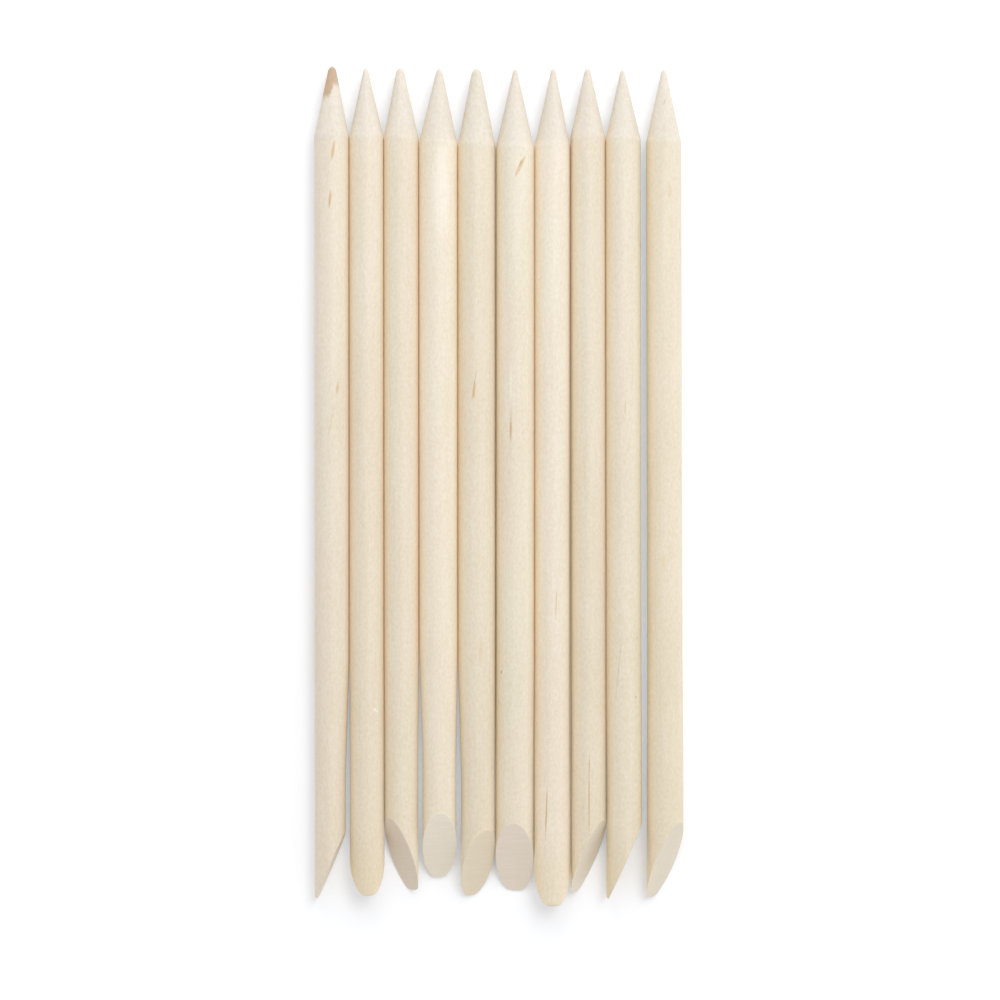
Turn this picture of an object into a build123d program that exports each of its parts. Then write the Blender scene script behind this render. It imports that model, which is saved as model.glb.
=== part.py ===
"""Ten wooden cuticle sticks, lying side by side on a flat surface.

Each stick is one birch dowel: sharpened to a blunt cone at its +Y end, and cut to a slanting chisel face at its -Y end.
The sticks lie along Y on the plane Z = 0, and each is rolled differently, so its chisel face looks another way.
The origin is under the middle of the row. All sizes are in millimetres, and angles in degrees.
"""

import os
from collections import namedtuple
from math import cos, radians, sin, tan

from build123d import *

# A stick's own dimensions.
#   diameter       of the dowel over most of its length
#   heel_diameter  of its last stretch before the chisel face, which is often thinner
#   length         from the nose to the chisel edge
#   setback        how far the nose lies behind the foremost nose of the row
#   cone           length of the sharpened end, from the nose to the shoulder
#   nose           radius of the blunt nose
#   roll           turn about the stick's own axis: 0 turns the chisel face up, 90 to +X, 180 down
#   slant          angle between the chisel face and the stick's axis
#   edge           thickness of the wood left at the chisel edge
#   corner         radius that rounds the dowel's end there
Stick = namedtuple("Stick", "diameter heel_diameter length setback cone nose roll slant edge corner")

STICKS = {
    "stick_01": Stick(4.78, 4.25, 115.61, 0.00, 9.8, 0.50, 84, 23.1, 0.36, 0.31),
    "stick_02": Stick(4.77, 4.78, 114.88, 0.25, 9.7, 0.28, 186, 25.5, 0.06, 0.32),
    "stick_03": Stick(4.82, 4.61, 114.58, 0.21, 9.8, 0.50, -47, 23.3, 0.16, 0.60),
    "stick_04": Stick(5.32, 4.67, 112.65, 0.36, 10.4, 0.40, 5, 26.2, 0.06, 0.32),
    "stick_05": Stick(5.21, 4.72, 115.19, 0.32, 10.7, 0.62, 29, 26.2, 0.06, 0.30),
    "stick_06": Stick(5.30, 5.21, 114.54, 0.40, 11.0, 0.25, -4, 27.2, 0.12, 0.40),
    "stick_07": Stick(4.90, 5.03, 116.23, 0.34, 10.7, 0.28, 182, 24.5, 0.13, 0.45),
    "stick_08": Stick(4.83, 4.86, 114.60, 0.30, 9.7, 0.38, 60, 24.5, 0.20, 0.40),
    "stick_09": Stick(4.88, 4.91, 115.17, 0.53, 9.7, 0.27, 91, 24.3, 0.18, 0.25),
    "stick_10": Stick(4.85, 5.04, 115.22, 0.48, 10.2, 0.32, 52, 25.0, 0.10, 0.30),
}

NEIGHBOUR_GAP = 0.07  # between sticks that lie together
LAST_GAP = 0.76  # before the last stick, which lies a little apart
TAPER_START = 33.0  # from the chisel edge to where the dowel's diameter starts to change
TAPER_END = 17.0  # from the chisel edge to where it has its heel diameter
NOSE_FLAT = 0.85  # half-width of the cone's blunt end, as a share of the nose radius
SHOULDER_RADIUS = 12.0  # eases the cone into the dowel
TAPER_RADIUS = 60.0  # eases both ends of that taper
FACE_EDGE_RADIUS = 0.04  # breaks the sharp rim of the chisel face
CLEAR = 1.0  # how far the cutting wedge reaches past the wood


def widest(s):
    """A stick's largest diameter, half of which is how high its axis lies."""
    return max(s.diameter, s.heel_diameter)


def row_centres():
    """Each stick's X, for a row centred on X = 0."""
    names = list(STICKS)
    centres = {}
    edge = 0.0
    for name in names:
        if name == names[-1]:
            edge += LAST_GAP - NEIGHBOUR_GAP
        centres[name] = edge + widest(STICKS[name]) / 2
        edge += widest(STICKS[name]) + NEIGHBOUR_GAP
    half_width = (edge - NEIGHBOUR_GAP) / 2
    return {name: x - half_width for name, x in centres.items()}


def row_front():
    """Y of the foremost nose, for a row centred on Y = 0."""
    return max(s.length + s.setback for s in STICKS.values()) / 2


def make_stick(name, centre_x, front_y):
    """One stick: a turned blank with the chisel face cut off its heel end."""
    s = STICKS[name]
    radius, heel_radius = s.diameter / 2, s.heel_diameter / 2
    heel = (centre_x, front_y - s.setback - s.length, widest(s) / 2)
    axis_plane = Plane(origin=heel, x_dir=(1, 0, 0), z_dir=(0, 0, 1))
    face_out = (sin(radians(s.roll)), 0, cos(radians(s.roll)))
    side_on = (-cos(radians(s.roll)), 0, sin(radians(s.roll)))
    chisel_plane = Plane(origin=heel, x_dir=face_out, z_dir=side_on)

    nose_flat = NOSE_FLAT * s.nose
    shoulder_y = s.length - s.cone
    wedge_rise = (2 * heel_radius - s.edge + CLEAR) / tan(radians(s.slant))

    with BuildPart() as stick:
        with BuildSketch(axis_plane) as blank:
            with BuildLine():
                Polyline(
                    (0, 0),
                    (heel_radius, 0),
                    (heel_radius, TAPER_END),
                    (radius, TAPER_START),
                    (radius, shoulder_y),
                    (nose_flat, s.length),
                    (0, s.length),
                    close=True,
                )
            make_face()
            corners = blank.vertices().filter_by(lambda v: v.X > nose_flat / 2).sort_by(Axis.Y)
            heel_corner, taper_low, taper_high, shoulder, nose = corners
            fillet(heel_corner, s.corner)
            fillet([taper_low, taper_high], TAPER_RADIUS)
            fillet(shoulder, SHOULDER_RADIUS)
            fillet(nose, s.nose)
        revolve(axis=Axis(heel, (0, 1, 0)))

        with BuildSketch(chisel_plane):
            with BuildLine():
                Polyline(
                    (s.edge - heel_radius - CLEAR * tan(radians(s.slant)), -CLEAR),
                    (heel_radius + CLEAR, wedge_rise),
                    (heel_radius + CLEAR, -CLEAR),
                    close=True,
                )
            make_face()
        extrude(amount=widest(s), both=True, mode=Mode.SUBTRACT)

        chisel_face = stick.faces().filter_by(GeomType.PLANE).sort_by(SortBy.AREA)[-1]
        fillet(chisel_face.edges(), FACE_EDGE_RADIUS)

    stick.part.label = name
    return stick


os.makedirs("parts", exist_ok=True)
CENTRES = row_centres()
FRONT_Y = row_front()
for stick_name in STICKS:
    made = make_stick(stick_name, CENTRES[stick_name], FRONT_Y)
    export_step(made.part, f"parts/{stick_name}.step")
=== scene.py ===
"""Ten birch cuticle sticks lying side by side on a pale surface, seen from above.

Each stick's CAD solid is replaced by a finer mesh, which is measured from that solid and then worked over as the
wood was: a turned shank, a sanded point and a sawn chisel face. The wood itself is one shader recipe, and each
stick gets its own tint, grain and marks. Lengths here are in millimetres about each stick's own axis, unless a name
says metres; the meshes and the camera are in metres.
"""

import math
from collections import namedtuple

import bmesh
import bpy
import numpy as np
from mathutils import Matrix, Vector, noise


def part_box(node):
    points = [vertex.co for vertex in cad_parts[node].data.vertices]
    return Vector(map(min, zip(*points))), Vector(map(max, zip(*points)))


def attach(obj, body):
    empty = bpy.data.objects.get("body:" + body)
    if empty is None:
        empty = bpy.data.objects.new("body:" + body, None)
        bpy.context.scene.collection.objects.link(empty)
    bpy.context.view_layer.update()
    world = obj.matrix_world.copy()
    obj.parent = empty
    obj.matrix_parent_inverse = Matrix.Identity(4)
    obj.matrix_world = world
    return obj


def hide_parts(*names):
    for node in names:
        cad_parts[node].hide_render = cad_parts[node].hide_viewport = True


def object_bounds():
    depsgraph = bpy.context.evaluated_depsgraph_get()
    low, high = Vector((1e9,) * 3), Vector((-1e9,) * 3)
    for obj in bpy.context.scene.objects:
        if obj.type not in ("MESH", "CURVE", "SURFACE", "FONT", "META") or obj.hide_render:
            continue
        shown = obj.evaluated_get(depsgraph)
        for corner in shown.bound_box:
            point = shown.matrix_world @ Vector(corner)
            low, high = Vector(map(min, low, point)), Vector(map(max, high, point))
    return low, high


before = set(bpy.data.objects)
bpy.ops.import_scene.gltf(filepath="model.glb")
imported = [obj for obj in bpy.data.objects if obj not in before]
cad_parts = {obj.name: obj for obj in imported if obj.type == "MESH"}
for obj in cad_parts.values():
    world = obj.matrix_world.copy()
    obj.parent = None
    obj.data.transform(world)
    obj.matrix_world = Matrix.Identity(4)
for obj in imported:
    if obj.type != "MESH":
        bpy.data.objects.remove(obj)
cad_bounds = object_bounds()

MM = 0.001

# ---------------------------------------------------------------------------------------------------------------
# How each stick looks. The shapes come from the frame; these are what the frame doesn't hold.
#   tint        colour of the shank's wood, linear
#   lean        how far the stick's middle stands off its axis, towards +X: at the nose, at the shoulder, where its
#               last stretch starts to change in diameter, and where that is done
#   face        colour of the sawn chisel face, linear
#   edge        thickness of the wood left at the chisel edge
#   corner      the radius that rounds the dowel's end there
#   marks       the stains, flecks and cracks on the wood
Look = namedtuple("Look", "tint lean face edge corner marks")

# One mark: its middle, around the stick from the top and along it, its length and width, its tilt in degrees, and
# its strength and hue.
Mark = namedtuple("Mark", "around along length width tilt strength hue")

TAN = (0.62, 0.40, 0.20)
RUST = (0.58, 0.37, 0.18)
BROWN = (0.42, 0.25, 0.12)
GREY = (0.40, 0.38, 0.30)
YELLOW = (0.74, 0.62, 0.36)
WHITE = (0.92, 0.88, 0.80)

LOOKS = {
    "stick_01": Look((0.775, 0.702, 0.583), (0.06, -0.01, 0.02, -0.18), (0.777, 0.653, 0.524), 0.36, 0.31, [
        Mark(0.30, 46.4, 3.4, 0.50, -9, 0.75, TAN),
        Mark(-0.12, 39.6, 2.9, 0.44, -5, 0.75, TAN),
        Mark(0.95, 13.5, 2.2, 0.45, -8, 0.65, TAN),
        Mark(0.10, 9.0, 6.0, 0.22, -12, 0.30, TAN),
    ]),
    "stick_02": Look((0.775, 0.702, 0.573), (-0.13, -0.02, 0.03, 0.08), (0.800, 0.700, 0.570), 0.06, 0.32, [
        Mark(1.45, -31.1, 1.2, 0.5, 60, 0.5, WHITE),
    ]),
    "stick_03": Look((0.775, 0.702, 0.573), (-0.22, -0.04, 0.02, -0.01), (0.770, 0.667, 0.552), 0.16, 0.60, []),
    "stick_04": Look((0.822, 0.753, 0.627), (0.10, -0.03, 0.01, 0.14), (0.820, 0.750, 0.635), 0.06, 0.32, [
        Mark(0.30, 41.0, 15.0, 3.2, 0, 0.35, WHITE),
    ]),
    "stick_05": Look((0.765, 0.693, 0.562), (-0.07, -0.04, -0.01, 0.18), (0.765, 0.665, 0.515), 0.06, 0.30, [
        Mark(-0.42, 13.0, 3.2, 0.44, -8, 0.85, TAN),
        Mark(-0.26, 14.6, 3.0, 0.16, -8, 0.45, BROWN),
        Mark(0.55, -23.0, 4.5, 0.7, 0, 0.22, TAN),
    ]),
    "stick_06": Look((0.784, 0.723, 0.595), (-0.02, -0.02, -0.02, -0.09), (0.790, 0.700, 0.590), 0.12, 0.40, [
        Mark(0.72, 44.2, 4.0, 0.66, -26, 0.60, TAN),
        Mark(0.76, 44.6, 1.2, 0.34, -24, 0.50, BROWN),
        Mark(-0.64, 7.6, 3.8, 0.42, 0, 0.75, TAN),
        Mark(-0.60, 8.6, 4.2, 0.14, 0, 0.60, BROWN),
        Mark(-0.62, 14.0, 7.0, 0.35, 0, 0.35, WHITE),
        Mark(-2.1, -25.8, 0.7, 0.35, 0, 0.55, BROWN),
        Mark(-2.7, -29.9, 0.8, 0.2, 0, 0.4, BROWN),
    ]),
    "stick_07": Look((0.822, 0.753, 0.637), (0.05, -0.07, -0.09, -0.10), (0.840, 0.740, 0.610), 0.13, 0.45, [
        Mark(0.42, -16.4, 4.8, 0.22, -2, 0.65, TAN),
        Mark(-0.92, -45.3, 7.8, 0.27, -2, 0.80, RUST),
    ]),
    "stick_08": Look((0.765, 0.693, 0.562), (-0.20, -0.16, -0.12, -0.06), (0.835, 0.755, 0.640), 0.20, 0.40, [
        Mark(0.0, -38.6, 2.8, 0.24, 0, 0.55, TAN),
        Mark(-0.05, -43.5, 13.0, 0.24, 0, 0.85, TAN),
    ]),
    "stick_09": Look((0.775, 0.713, 0.583), (-0.31, -0.20, -0.11, -0.04), (0.800, 0.700, 0.570), 0.18, 0.25, [
        Mark(0.0, 11.0, 3.0, 0.22, 0, 0.35, TAN),
        Mark(2.3, 34.8, 4.0, 0.3, 0, 0.3, TAN),
        Mark(-0.85, -24.8, 12.0, 0.22, -6, 0.22, BROWN),
        Mark(1.95, -21.1, 0.5, 0.3, 0, 0.55, GREY),
        Mark(1.65, -29.3, 0.6, 0.3, 0, 0.55, GREY),
    ]),
    "stick_10": Look((0.775, 0.702, 0.562), (-0.29, -0.31, -0.13, -0.09), (0.757, 0.683, 0.580), 0.10, 0.30, [
        Mark(-0.45, 53.3, 1.1, 0.50, -20, 0.40, GREY),
        Mark(2.35, 34.8, 2.6, 0.35, 0, 0.45, TAN),
        Mark(-0.5, 12.6, 2.2, 0.30, -8, 0.45, YELLOW),
        Mark(2.40, 1.6, 2.4, 0.30, 0, 0.60, TAN),
        Mark(-0.45, -10.4, 3.0, 0.75, 0, 0.60, YELLOW),
        Mark(0.4, 40.8, 2.6, 0.9, 0, 0.20, TAN),
    ]),
}

# The mesh.
ARC_STEPS = 48  # along half of a full cross-section
FACE_STEP = 0.15  # across the chisel face
CHISEL_STEP = 0.20  # along the chisel end
SHANK_STEP = 0.90  # along the shank
POINT_STEP = 0.24  # along the sharpened point
RIM = 0.05  # how far the chisel face's rim is rounded back
RIM_CROWN = 0.25  # how far the rim's middle stands out towards the sharp corner
NOSE_BACK = 0.35  # from the nose to where its blunt end's radius is taken
NOSE_REACH, NOSE_WIDTH = 1.3, 0.9  # how long and how wide the rounded nose is, as shares of that radius
NEARLY_ONE = 0.9999  # keeps an arc cosine off its ends

# How the frame's sticks are read. The first three are distances from the chisel edge.
TAPER_START, TAPER_END = 33.0, 17.0  # to where the diameter starts to change, and to where that is done
HEEL_REACH = 12.0  # to a place that has the last stretch's diameter
HEEL_STEP = 0.001  # between tries for the very end of the wood
FACE_CLEARANCE = 0.15  # how far below the chisel face the blank's own surface is sure
FULL_SHARE = 0.985  # the share of the full radius that still counts as shank

# Relief worked into the wood.
PLUMP = 0.018  # what the wood stands proud of the CAD's surface, so that the neighbours nearly touch
SHANK_WAVE = 0.010
FIBRE_RIDGE = 0.004
POINT_FACET = 0.016
POINT_RIPPLE = 0.005
FACE_RIPPLE = 0.008
SHOULDER_WANDER = 0.30


# ---------------------------------------------------------------------------------------------------------------
# Reading a stick from the frame


class Stick:
    """One stick's shape about its own axis, measured from its CAD mesh."""

    def __init__(self, node, number):
        low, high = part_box(node)
        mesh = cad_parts[node].data
        self.node, self.number, self.seed = node, number, 17.0 * number
        self.neighbours = (number > 1, number < len(LOOKS))
        self.look = LOOKS[node]
        self.axis_x = (low.x + high.x) / 2 / MM
        self.axis_z = (high.z - low.z) / 2 / MM
        self.heel, self.nose = low.y / MM, high.y / MM
        self.read_face(mesh)
        self.read_profile(mesh)

    def local(self, point):
        """A point of the row frame, in millimetres about the stick's axis."""
        return Vector((point.x / MM - self.axis_x, point.y / MM, point.z / MM - self.axis_z))

    def read_face(self, mesh):
        """The chisel face is the flat that has the most area of those that look back along the stick."""
        flats = {}
        for polygon in mesh.polygons:
            if polygon.normal.y < -0.2:
                key = tuple(round(c, 2) for c in polygon.normal)
                flats.setdefault(key, []).append(polygon)
        face = max(flats.values(), key=lambda group: sum(p.area for p in group))
        area = sum(p.area for p in face)
        self.normal = sum((p.normal * p.area for p in face), Vector()).normalized()
        self.face_middle = self.local(sum((p.center * p.area for p in face), Vector()) / area)
        self.roll = math.atan2(self.normal.x, self.normal.z)
        self.face_out = Vector((math.sin(self.roll), 0, math.cos(self.roll)))
        self.face_side = Vector((math.cos(self.roll), 0, -math.sin(self.roll)))
        self.slope = -self.normal.y / math.hypot(self.normal.x, self.normal.z)

    def face_height(self, y):
        """How far the chisel face stands from the axis at a place along the stick."""
        return self.face_out.dot(self.face_middle) + self.slope * (y - self.face_middle.y)

    def where_face_is(self, height):
        """The place along the stick where the chisel face stands that far from the axis."""
        return self.face_middle.y + (height - self.face_out.dot(self.face_middle)) / self.slope

    def read_profile(self, mesh):
        """The round blank's radius along the stick, from the side that has no chisel face."""
        corner = self.look.corner
        widest = {}
        for vertex in mesh.vertices:
            p = self.local(vertex.co)
            outward = self.face_out.dot(p)
            if p.y > self.heel + corner and outward < min(self.face_height(p.y) - FACE_CLEARANCE, 0):
                y = round(p.y, 2)
                widest[y] = max(widest.get(y, 0), math.hypot(p.x, p.z))
        self.profile_y = sorted(widest)
        self.profile_r = [widest[y] for y in self.profile_y]
        self.corner_top = self.heel
        self.radius = self.blank((self.heel + self.nose) / 2)
        self.heel_radius = self.blank(self.heel + HEEL_REACH)
        self.face_top = self.where_face_is(self.heel_radius)
        self.shoulder = max(y for y, r in widest.items() if r > FULL_SHARE * self.radius)

        # The visual's own end: where the chisel face leaves the edge's thickness, less what the corner rounds off.
        self.heel = self.where_face_is(self.look.edge - self.heel_radius)
        self.corner_top = self.heel + corner
        while self.face_height(self.heel) < -self.blank(self.heel):
            self.heel += HEEL_STEP

    def blank(self, y):
        radius = float(np.interp(y, self.profile_y, self.profile_r))
        corner = self.look.corner
        below = min(max(self.corner_top - y, 0), corner)
        return radius - corner + math.sqrt(corner**2 - below**2)

    def point_share(self, y):
        """0 on the shank, 1 at the nose."""
        return min(max((y - self.shoulder) / (self.nose - self.shoulder), 0), 1)

    def lean(self, y):
        """How far the stick's middle stands off its axis, towards +X."""
        places = (self.heel + TAPER_END, self.heel + TAPER_START, self.shoulder, self.nose)
        return float(np.interp(y, places, self.look.lean[::-1]))


def smooth(value, low, high):
    t = min(max((value - low) / (high - low), 0), 1)
    return t * t * (3 - 2 * t)


# ---------------------------------------------------------------------------------------------------------------
# Building a stick's mesh out of cross-sections


def stations(stick):
    """Places along the stick where it is cut into cross-sections, closer where its shape changes faster."""
    places = [stick.heel + t for t in (0.004, 0.02, 0.045, 0.08, 0.12, 0.17, 0.23, 0.30, 0.38, 0.48)]
    places += list(np.arange(stick.heel + 0.6, stick.face_top - 0.4, CHISEL_STEP))
    places += [stick.face_top + t for t in (-0.28, -0.18, -0.10, -0.05, -0.02, 0.06, 0.2, 0.5, 1.0, 1.6)]
    point_start = stick.shoulder - 2.5
    shank_count = round((point_start - stick.face_top - 2.4) / SHANK_STEP)
    places += list(np.linspace(stick.face_top + 2.4, point_start, shank_count))
    places += list(np.arange(point_start + POINT_STEP, stick.nose - 1.0, POINT_STEP))
    places += [stick.nose - t for t in (0.9, 0.75, 0.6, 0.48, 0.37, 0.28, 0.20, 0.13, 0.08, 0.04, 0.015)]
    return places


def blank_radius(stick, angle, y):
    """The turned and sharpened blank's radius, with the marks of the tools on it."""
    around = Vector((math.sin(angle), math.cos(angle), 0))
    point = stick.point_share(y)
    wander = SHOULDER_WANDER * noise.noise(around * 0.9 + Vector((stick.seed, 3.1, 0)))
    near_shoulder = smooth(y, stick.shoulder - 2.5, stick.shoulder - 0.5) * (1 - smooth(point, 0.3, 0.9))
    radius = stick.blank(y + wander * near_shoulder) + PLUMP
    radius = nose_rounded(stick, y, radius)

    seat = Vector((around.x * radius, around.y * radius, y))
    wave = noise.noise(Vector((seat.x * 0.35, seat.y * 0.35, seat.z * 0.06 + stick.seed)))
    ridge = noise.noise(Vector((seat.x * 2.6, seat.y * 2.6, seat.z * 0.16 + stick.seed)))
    radius += (SHANK_WAVE * wave + FIBRE_RIDGE * ridge) * (1 - point)

    sharpened = smooth(point, 0.0, 0.12) * (1 - smooth(point, 0.75, 0.98))
    facet = 0.5 - 0.5 * math.cos(9 * angle + 2.2 * noise.noise(Vector((y * 0.25, stick.seed, around.x))))
    ripple = noise.noise(Vector((around.x * 0.8, around.y * 0.8, y * 2.3 + stick.seed)))
    return radius - sharpened * (POINT_FACET * facet + POINT_RIPPLE * (1 + ripple))


def nose_rounded(stick, y, radius):
    """Rounds the last bit of the point over to nothing at the nose."""
    blunt = stick.blank(stick.nose - NOSE_BACK)
    left = (stick.nose - y) / (NOSE_REACH * blunt)
    if left >= 1:
        return radius
    return max(radius, blunt * NOSE_WIDTH) * math.sqrt(max(1 - (1 - left) ** 2, 0))


def face_relief(stick, across, y):
    """Saw marks across the chisel face, and how it falls away a little towards its sides."""
    saw = noise.noise(Vector((across * 0.25, y * 2.2, stick.seed)))
    broad = noise.noise(Vector((across * 0.4, y * 0.5, stick.seed + 5)))
    relief = FACE_RIPPLE * (saw + 0.8 * broad - 1) - 0.012 * (across / stick.radius) ** 2
    return relief * smooth(y, stick.heel, stick.heel + 0.6)


def cross_section(stick, y):
    """Points of one cross-section in five runs: side, rim, face, rim, side.

    Where there is no face, the middle three runs are all the one point at the top of the roll.
    """
    height = stick.face_height(y)
    top_radius = blank_radius(stick, stick.roll, y)
    has_face = height < top_radius - 0.001

    half = 0.0
    if has_face:
        half = math.acos(max(height / blank_radius(stick, stick.roll + math.pi, y), -NEARLY_ONE))
        share = height / blank_radius(stick, stick.roll + half, y)
        half = math.acos(max(min(share, NEARLY_ONE), -NEARLY_ONE))

    def on_blank(turn):
        angle = stick.roll + turn
        radius = blank_radius(stick, angle, y)
        return Vector((radius * math.sin(angle), y, radius * math.cos(angle)))

    def on_face(across):
        out = height + face_relief(stick, across, y)
        p = stick.face_out * out + stick.face_side * across
        return Vector((p.x, y, p.z))

    steps = max(2, round(ARC_STEPS * (math.pi - half) / math.pi))
    if not has_face:
        side_a = [on_blank(-math.pi + math.pi * i / steps) for i in range(steps + 1)]
        side_b = [on_blank(math.pi * i / steps) for i in range(steps)]
        top = side_a[-1]
        return [side_a, [top], [top], [top], [top] + side_b[1:] + [side_a[0]]]

    radius = blank_radius(stick, stick.roll + half, y)
    half_width = radius * math.sin(half)
    rim = min(RIM, 0.3 * half_width, 0.3 * (math.pi - half) * radius)
    start = half + rim / radius
    inner = half_width - rim
    side_a = [on_blank(-math.pi + (math.pi - start) * i / steps) for i in range(steps + 1)]
    side_b = [on_blank(start + (math.pi - start) * i / steps) for i in range(steps + 1)]
    face_steps = max(1, round(2 * inner / FACE_STEP))
    face = [on_face(-inner + 2 * inner * i / face_steps) for i in range(face_steps + 1)]
    middle_a, middle_b = (side_a[-1] + face[0]) / 2, (side_b[0] + face[-1]) / 2
    corner_a = middle_a + RIM_CROWN * (on_blank(-half) - middle_a)
    corner_b = middle_b + RIM_CROWN * (on_blank(half) - middle_b)
    rim_a = [side_a[-1], corner_a, face[0]]
    rim_b = [face[-1], corner_b, side_b[0]]
    return [side_a, rim_a, face, rim_b, side_b[:-1] + [side_a[0]]]


def lay_down(bm, stick, runs):
    """Makes a cross-section's vertices, one for each place, and returns them in its five runs."""
    made = {}
    lean = stick.lean(runs[0][0].y)

    def vertex(p):
        key = (round(p.x, 6), round(p.z, 6))
        if key not in made:
            place = Vector((p.x + stick.axis_x + lean, p.y, max(p.z + stick.axis_z, 0.0)))
            made[key] = bm.verts.new(place * MM)
        return made[key]

    return [[vertex(p) for p in run] for run in runs]


def stitch(bm, first, second):
    """Joins two runs of vertices with faces, and slips a triangle in where one run has more."""
    i = j = 0
    last_i, last_j = len(first) - 1, len(second) - 1
    near = 0.5 / max(last_i, last_j, 1)
    while i < last_i or j < last_j:
        next_i = (i + 1) / last_i if i < last_i else 9
        next_j = (j + 1) / last_j if j < last_j else 9
        if abs(next_i - next_j) < near:
            corners = [first[i], first[i + 1], second[j + 1], second[j]]
            i, j = i + 1, j + 1
        elif next_i < next_j:
            corners = [first[i], first[i + 1], second[j]]
            i += 1
        else:
            corners = [first[i], second[j + 1], second[j]]
            j += 1
        if len(set(corners)) == len(corners):
            bm.faces.new(corners)


def close_end(bm, runs, place):
    """Closes the mesh at one end with a fan of triangles to one point."""
    loop = []
    for run in runs:
        loop += [v for v in run if v not in loop]
    tip = bm.verts.new(place)
    for a, b in zip(loop, loop[1:] + loop[:1]):
        bm.faces.new((a, b, tip))


def build_stick(stick):
    bm = bmesh.new()
    sections = [lay_down(bm, stick, cross_section(stick, y)) for y in stations(stick)]
    for first, second in zip(sections, sections[1:]):
        for run_a, run_b in zip(first, second):
            stitch(bm, run_a, run_b)
    heel_loop = {v for run in sections[0] for v in run}
    heel_middle = sum((v.co for v in heel_loop), Vector()) / len(heel_loop)
    close_end(bm, sections[0], heel_middle - Vector((0, 0.008 * MM, 0)))
    nose_x = stick.axis_x + stick.lean(stick.nose)
    close_end(bm, sections[-1], Vector((nose_x, stick.nose, stick.axis_z)) * MM)
    bmesh.ops.recalc_face_normals(bm, faces=bm.faces)
    for face in bm.faces:
        face.smooth = True

    mesh = bpy.data.meshes.new("birch_" + stick.node)
    bm.to_mesh(mesh)
    bm.free()
    piece = bpy.data.objects.new("birch_" + stick.node, mesh)
    bpy.context.scene.collection.objects.link(piece)
    return piece


# ---------------------------------------------------------------------------------------------------------------
# Wood


class Recipe:
    """Adds shader nodes to a material or a world; every helper returns the socket it makes."""

    def __init__(self, owner):
        owner.use_nodes = True
        self.owner, self.tree = owner, owner.node_tree
        self.tree.nodes.clear()

    def add(self, kind, sockets, **settings):
        node = self.tree.nodes.new(kind)
        for name, value in settings.items():
            setattr(node, name, value)
        for name, value in sockets.items():
            if isinstance(value, bpy.types.NodeSocket):
                self.tree.links.new(value, node.inputs[name])
            else:
                node.inputs[name].default_value = value
        return node

    def math(self, operation, *values, clamp=False):
        sockets = dict(enumerate(values))
        return self.add("ShaderNodeMath", sockets, operation=operation, use_clamp=clamp).outputs[0]

    def placed(self, vector, location=(0, 0, 0), rotation=(0, 0, 0), scale=(1, 1, 1)):
        sockets = {"Vector": vector, "Location": location, "Rotation": rotation, "Scale": scale}
        return self.add("ShaderNodeMapping", sockets).outputs[0]

    def noise(self, vector, scale, detail=2.0, roughness=0.5):
        """Noise about 0, from -1 to 1, stretched by a scale for each axis."""
        stretched = self.placed(vector, scale=scale)
        sockets = {"Vector": stretched, "Scale": 1.0, "Detail": detail, "Roughness": roughness}
        raw = self.add("ShaderNodeTexNoise", sockets).outputs[0]
        return self.math("MULTIPLY_ADD", raw, 2.0, -1.0)

    def range(self, value, low, high, to_low=0.0, to_high=1.0):
        sockets = {0: value, 1: low, 2: high, 3: to_low, 4: to_high}
        return self.add("ShaderNodeMapRange", sockets, interpolation_type="SMOOTHSTEP").outputs[0]

    def blend(self, factor, a, b, mode="MIX"):
        sockets = {0: factor, 6: a, 7: b}
        return self.add("ShaderNodeMix", sockets, data_type="RGBA", blend_type=mode).outputs[2]

    def weigh(self, *pairs):
        """Adds up sockets, each times its weight."""
        total = 0.0
        for socket, weight in pairs:
            total = self.math("MULTIPLY_ADD", socket, weight, total)
        return total


# What the wood's colour is multiplied by in some places. All but the last of these are painted light or shade.
PAINTED_FLANK_LIGHT = ((1.10, 1.06, 0.99), (1.07, 1.07, 1.07))  # painted light: on the -X side, lighter and warmer as if lit by light off the neighbour, and on the +X side, lighter as if lit from there
PAINTED_CREVICE_GLOW = (1.12, 1.05, 0.96)  # painted light: a warm glow deep between two sticks that touch
PAINTED_TIGHT_SHADE = (0.93, 0.86, 0.77)  # painted shade: the same place, between those that lie closest
PAINTED_HEEL_SHADE = (0.955, 0.94, 0.91)  # painted shade: darker at the chisel end, and less and less towards the nose
TURNED_TIP_TINT = (0.965, 0.945, 0.88)  # the round back of a tip that lies face down

# From the chisel edge to where such a tint is absent, and to where it is full.
PAINTED_CREVICE_SPAN = (12.0, 28.0)
TURNED_TIP_SPAN = (12.0, 2.0)

# Sticks, by number, and their sides that touch the next stick: -1 towards -X, and 1 towards +X.
TOUCHING = {(n, 1) for n in range(1, 9)} | {(n, -1) for n in range(2, 10)}
# The sides that lie closest, whose crevice gets painted shade instead of painted light.
TIGHT = {(5, 1), (6, -1), (7, 1), (8, -1)}

POINT_TINT = (0.743, 0.689, 0.599)  # the colour of every sharpened point, whatever its shank's tint
STAINED_STICK = 1  # its tip is stained, and its point starts lower down, at a clean line
STAIN_COLOUR = (0.50, 0.33, 0.19)
RELIEF_DEPTH = 0.012 * MM  # of the grain, as bump


def solid(colour):
    return (*colour, 1.0)


def shifted(colour, *factors):
    return tuple(c * f for c, f in zip(colour, factors))


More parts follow.
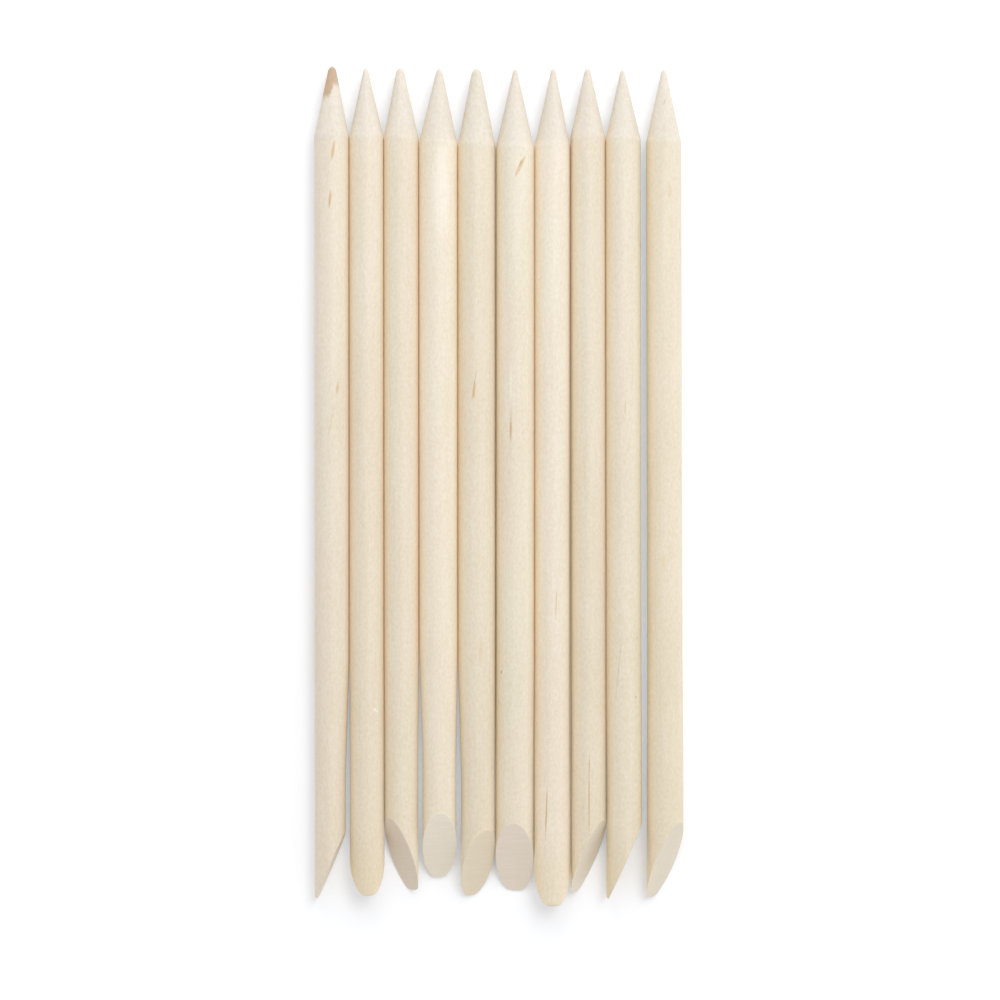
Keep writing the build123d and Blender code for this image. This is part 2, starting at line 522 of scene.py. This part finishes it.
def mark_mask(recipe, mark, around, along, fray):
    """1 in the middle of a mark and 0 outside it: a long spindle, frayed by the grain."""
    tilt = math.radians(mark.tilt)
    du = recipe.math("SUBTRACT", around, mark.around)
    dv = recipe.math("SUBTRACT", along, mark.along)
    along_mark = recipe.weigh((dv, math.cos(tilt) * 2 / mark.length), (du, -math.sin(tilt) * 2 / mark.length))
    across_mark = recipe.weigh((du, math.cos(tilt) * 2 / mark.width), (dv, math.sin(tilt) * 2 / mark.width))
    squared = recipe.math("ADD", recipe.math("POWER", along_mark, 2.0), recipe.math("POWER", across_mark, 2.0))
    frayed = recipe.math("MULTIPLY_ADD", fray, 0.5, squared)
    return recipe.range(frayed, 1.1, 0.05, 0.0, mark.strength)


def wood(stick):
    """Sanded pale birch for one stick: the shank, the sharpened point and the sawn chisel face, with light and
    shade painted into its colour on the flanks, in the crevices and towards the chisel end.
    """
    r = Recipe(bpy.data.materials.new("wood_" + stick.node))
    tint = stick.look.tint
    object_space = r.add("ShaderNodeTexCoord", {}).outputs["Object"]
    place = (-stick.axis_x, 0, -stick.axis_z)
    here = r.placed(object_space, location=place, scale=(1 / MM, 1 / MM, 1 / MM))
    axes = r.add("ShaderNodeSeparateXYZ", {0: here}).outputs
    grain = r.placed(here, location=(stick.seed, 2 * stick.seed, 0), rotation=(0, stick.seed, 0))

    # The grain: broad blotches, growth layers, long fibres, a fine silky speckle and rays across it.
    blotch = r.noise(grain, (0.25, 0.06, 0.25), 2)
    layer = r.noise(grain, (1.1, 0.03, 0.22), 3, 0.6)
    fibre = r.noise(grain, (5.5, 0.30, 5.5), 3, 0.6)
    speckle = r.noise(grain, (3.2, 1.8, 3.2), 3, 0.7)
    ray = r.noise(grain, (0.9, 4.2, 0.9), 2, 0.5)
    ray_patch = r.range(r.noise(grain, (0.3, 0.10, 0.3), 1), -0.1, 0.4)
    rays = r.math("MULTIPLY", ray, ray_patch)
    pores = r.range(r.noise(grain, (7.0, 0.9, 7.0), 2, 0.5), 0.30, 0.62)

    # The three ways that the wood was worked.
    edge_wander = r.noise(here, (0.5, 0.2, 0.5), 2)
    shoulder = r.math("MULTIPLY_ADD", edge_wander, 0.8, axes["Y"])
    soft, drop = (0.0, 0.4) if stick.number == STAINED_STICK else (1.0, 0.0)
    pointed = r.range(shoulder, stick.shoulder - 0.25 - soft - drop, stick.shoulder + 0.15 + soft - drop)
    face_distance = r.add(
        "ShaderNodeVectorMath", {0: here, 1: stick.normal}, operation="DOT_PRODUCT"
    ).outputs["Value"]
    face_plane = stick.normal.dot(stick.face_middle)
    sawn = r.range(face_distance, face_plane - 0.12, face_plane - 0.045)
    worked = r.math("MAXIMUM", pointed, sawn)

    # Colour.
    tone = r.weigh((blotch, 0.45), (layer, 0.55), (fibre, 0.42), (speckle, 1.5), (rays, 0.35), (pores, -0.5))
    tone = r.math("MULTIPLY_ADD", tone, 0.5, 0.5, clamp=True)
    dark = solid(shifted(tint, 0.91, 0.88, 0.81))
    light = solid(shifted(tint, 1.075, 1.09, 1.13))
    colour = r.blend(tone, dark, light)
    warmth = r.range(r.noise(grain, (0.2, 0.035, 0.2), 1), -0.3, 0.3)
    colour = r.blend(r.math("MULTIPLY", warmth, 0.5), colour, solid((1.0, 0.975, 0.985)), "MULTIPLY")

    # Painted light and shade. The -X flanks that face a neighbour are lighter and warmer, as light bounced off that
    # neighbour would make them, and the +X flanks that face one are lighter, as if lit from that side. Deep where
    # two sticks touch there is a painted warm glow, or painted shade where they lie closest. Each stick also
    # darkens a little towards its chisel end, a painted shade.
    outward = r.math("DIVIDE", axes["X"], stick.radius)
    for side, painted_flank_tint, has_neighbour in zip((-1, 1), PAINTED_FLANK_LIGHT, stick.neighbours):
        if has_neighbour:
            flank_light = r.range(outward, 0.35 * side, 0.95 * side)
            colour = r.blend(flank_light, colour, r.blend(1.0, colour, solid(painted_flank_tint), "MULTIPLY"))
        if (stick.number, side) in TOUCHING:
            # Painted glow deep in the crevice, or painted shade on the sides that lie closest.
            painted_crevice_mask = r.range(outward, 0.88 * side, 1.0 * side)
            along = r.range(axes["Y"], stick.heel + PAINTED_CREVICE_SPAN[0], stick.heel + PAINTED_CREVICE_SPAN[1])
            painted_crevice_mask = r.math("MULTIPLY", painted_crevice_mask, along)
            painted_crevice_tint = PAINTED_TIGHT_SHADE if (stick.number, side) in TIGHT else PAINTED_CREVICE_GLOW
            colour = r.blend(painted_crevice_mask, colour, r.blend(1.0, colour, solid(painted_crevice_tint), "MULTIPLY"))
    # Painted shade: the wood is darker towards the chisel end.
    heelward_shade = r.range(axes["Y"], stick.nose, stick.heel)
    colour = r.blend(heelward_shade, colour, r.blend(1.0, colour, solid(PAINTED_HEEL_SHADE), "MULTIPLY"))
    if stick.normal.z < 0:
        tip = r.range(axes["Y"], stick.heel + TURNED_TIP_SPAN[0], stick.heel + TURNED_TIP_SPAN[1])
        colour = r.blend(tip, colour, r.blend(1.0, colour, solid(TURNED_TIP_TINT), "MULTIPLY"))

    point_factor = solid(point / shank for point, shank in zip(POINT_TINT, tint))
    point_colour = r.blend(1.0, colour, point_factor, "MULTIPLY")
    colour = r.blend(pointed, colour, point_colour)

    saw_line = r.noise(here, (0.35, 3.4, 0.35), 3, 0.65)
    saw_tone = r.math("MULTIPLY_ADD", saw_line, 0.5, 0.5, clamp=True)
    face_dark = solid(shifted(stick.look.face, 0.92, 0.91, 0.89))
    face_light = solid(shifted(stick.look.face, 1.05, 1.06, 1.07))
    colour = r.blend(sawn, colour, r.blend(saw_tone, face_dark, face_light))

    # Marks. Each lies around the stick from its top, and along it.
    turn = r.math("ARCTAN2", axes["X"], axes["Z"])
    around = r.math("MULTIPLY", turn, stick.radius)
    fray = r.noise(grain, (6.0, 0.8, 6.0), 2)
    scars = 0.0
    for mark in stick.look.marks:
        mask = mark_mask(r, mark, around, axes["Y"], fray)
        colour = r.blend(mask, colour, solid(mark.hue))
        scars = r.math("MAXIMUM", mask, scars)
    if stick.number == STAINED_STICK:
        colour = stained_tip(r, colour, around, axes, fray)

    # Gloss and relief.
    gloss = r.weigh((fibre, 0.05), (blotch, 0.05), (worked, 0.22))
    roughness = r.math("ADD", gloss, 0.46, clamp=True)
    fine = r.weigh((fibre, 0.5), (speckle, 0.35), (rays, 0.3), (pores, -0.9))
    fine = r.math("MULTIPLY", fine, r.math("SUBTRACT", 1.0, sawn))
    lathe = r.math("MULTIPLY", r.noise(here, (0.4, 5.0, 0.4), 2), pointed)
    saw = r.math("MULTIPLY", saw_line, sawn)
    height = r.weigh((fine, 1.0), (lathe, 0.8), (saw, 2.0), (scars, -0.7))
    bump = r.add("ShaderNodeBump", {"Strength": 0.5, "Distance": RELIEF_DEPTH, "Height": height}).outputs[0]

    sockets = {
        "Base Color": colour,
        "Roughness": roughness,
        "Normal": bump,
        "IOR": 1.46,
    }
    shader = r.add("ShaderNodeBsdfPrincipled", sockets)
    r.add("ShaderNodeOutputMaterial", {"Surface": shader.outputs[0]})
    return r.owner


def stained_tip(r, colour, around, axes, fray):
    """The tan stain that soaked into one stick's point, with a run down its left side."""
    lower = r.range(around, -0.6, 0.8, 53.8, 55.5)
    reach = r.math("MULTIPLY_ADD", fray, 0.55, axes["Y"])
    depth = r.math("SUBTRACT", reach, lower)
    soaked = r.range(depth, -0.4, 0.8, 0.0, 0.9)
    patchy = r.math("MULTIPLY", soaked, r.range(fray, -0.6, 0.5, 0.75, 1.0))
    return r.blend(patchy, colour, solid(STAIN_COLOUR))


# ---------------------------------------------------------------------------------------------------------------
# Stage, light and camera

FLOOR_COLOUR = (0.865, 0.87, 0.885, 1.0)
FLOOR_GLOW = (0.13, 0.135, 0.145, 1.0)
# Painted light: the extra glow of the floor in the gaps between the sticks.
PAINTED_GAP_GLOW = (0.20, 0.235, 0.275, 1.0)
DAYLIGHT = (1.0, 1.0, 1.0)


def make_floor():
    """A pale sheet that glows a little, as if lit from below, and glows more in the gaps between the sticks, a
    painted light there.
    """
    r = Recipe(bpy.data.materials.new("pale_floor"))
    place = r.placed(r.add("ShaderNodeTexCoord", {}).outputs["Object"], scale=(1 / MM, 1 / MM, 1 / MM))
    axes = r.add("ShaderNodeSeparateXYZ", {0: place}).outputs
    # Painted light: the sheet glows more within the row's footprint, where the gaps between the sticks are.
    across = r.range(r.math("ABSOLUTE", axes["X"]), 24.5, 23.5)
    along = r.range(r.math("ABSOLUTE", axes["Y"]), 56.0, 44.0)
    glow = r.blend(r.math("MULTIPLY", across, along), FLOOR_GLOW, PAINTED_GAP_GLOW)
    sockets = {"Base Color": FLOOR_COLOUR, "Roughness": 0.9, "Emission Color": glow, "Emission Strength": 1.0}
    shader = r.add("ShaderNodeBsdfPrincipled", sockets)
    r.add("ShaderNodeOutputMaterial", {"Surface": shader.outputs[0]})
    bm = bmesh.new()
    bmesh.ops.create_grid(bm, x_segments=1, y_segments=1, size=3.0)
    mesh = bpy.data.meshes.new("floor")
    bm.to_mesh(mesh)
    bm.free()
    mesh.materials.append(r.owner)
    floor = bpy.data.objects.new("floor", mesh)
    bpy.context.scene.collection.objects.link(floor)


def aim(thing, target):
    thing.rotation_mode = "QUATERNION"
    thing.rotation_quaternion = (Vector(target) - thing.location).to_track_quat("-Z", "Y")


def make_light(name, direction, distance, size, watts, colour):
    data = bpy.data.lights.new(name, "AREA")
    data.shape = "DISK"
    data.size = size
    data.energy = watts
    data.color = colour
    light = bpy.data.objects.new(name, data)
    light.location = Vector(direction).normalized() * distance
    aim(light, (0, 0, 0))
    bpy.context.scene.collection.objects.link(light)


def make_sky(colour, strength, right, left):
    """An even sky that is brighter low down on the +X side, and less so on the -X side."""
    r = Recipe(bpy.data.worlds.new("soft_sky"))
    direction = r.add("ShaderNodeTexCoord", {}).outputs["Generated"]
    axes = r.add("ShaderNodeSeparateXYZ", {0: direction}).outputs
    to_right = r.math("MAXIMUM", axes["X"], 0.0)
    to_left = r.math("MAXIMUM", r.math("MULTIPLY", axes["X"], -1.0), 0.0)
    low_down = r.math("SUBTRACT", 1.0, r.math("MAXIMUM", axes["Z"], 0.0))
    side = r.weigh((to_right, right), (to_left, left))
    total = r.math("MULTIPLY_ADD", side, low_down, strength)
    background = r.add("ShaderNodeBackground", {"Color": solid(colour), "Strength": total})
    r.add("ShaderNodeOutputWorld", {"Surface": background.outputs[0]})
    bpy.context.scene.world = r.owner


def make_camera():
    """Straight above the row, with its points at the top of the picture."""
    view_width = 0.139
    aside, below_noses = 0.00011, 0.06028
    lens, sensor = 110, 36
    data = bpy.data.cameras.new("camera")
    data.lens, data.sensor_width = lens, sensor
    camera = bpy.data.objects.new("camera", data)
    low, high = cad_bounds
    middle = (low + high) / 2
    camera.location = (middle.x + aside, high.y - below_noses, middle.z + view_width * lens / sensor)
    bpy.context.scene.collection.objects.link(camera)
    bpy.context.scene.camera = camera


make_camera()
make_floor()
make_sky(DAYLIGHT, 0.60, 0.70, 0.35)
make_light("key", (0.32, 0.34, 1.0), 0.90, 0.40, 1.6, DAYLIGHT)
make_light("front", (0.05, 0.35, 0.30), 0.95, 1.00, 3.8, DAYLIGHT)
bpy.context.scene.view_settings.view_transform = "Standard"

for number, node in enumerate(sorted(LOOKS), start=1):
    stick = Stick(node, number)
    piece = build_stick(stick)
    piece.data.materials.append(wood(stick))
    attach(piece, node)
    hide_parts(node)
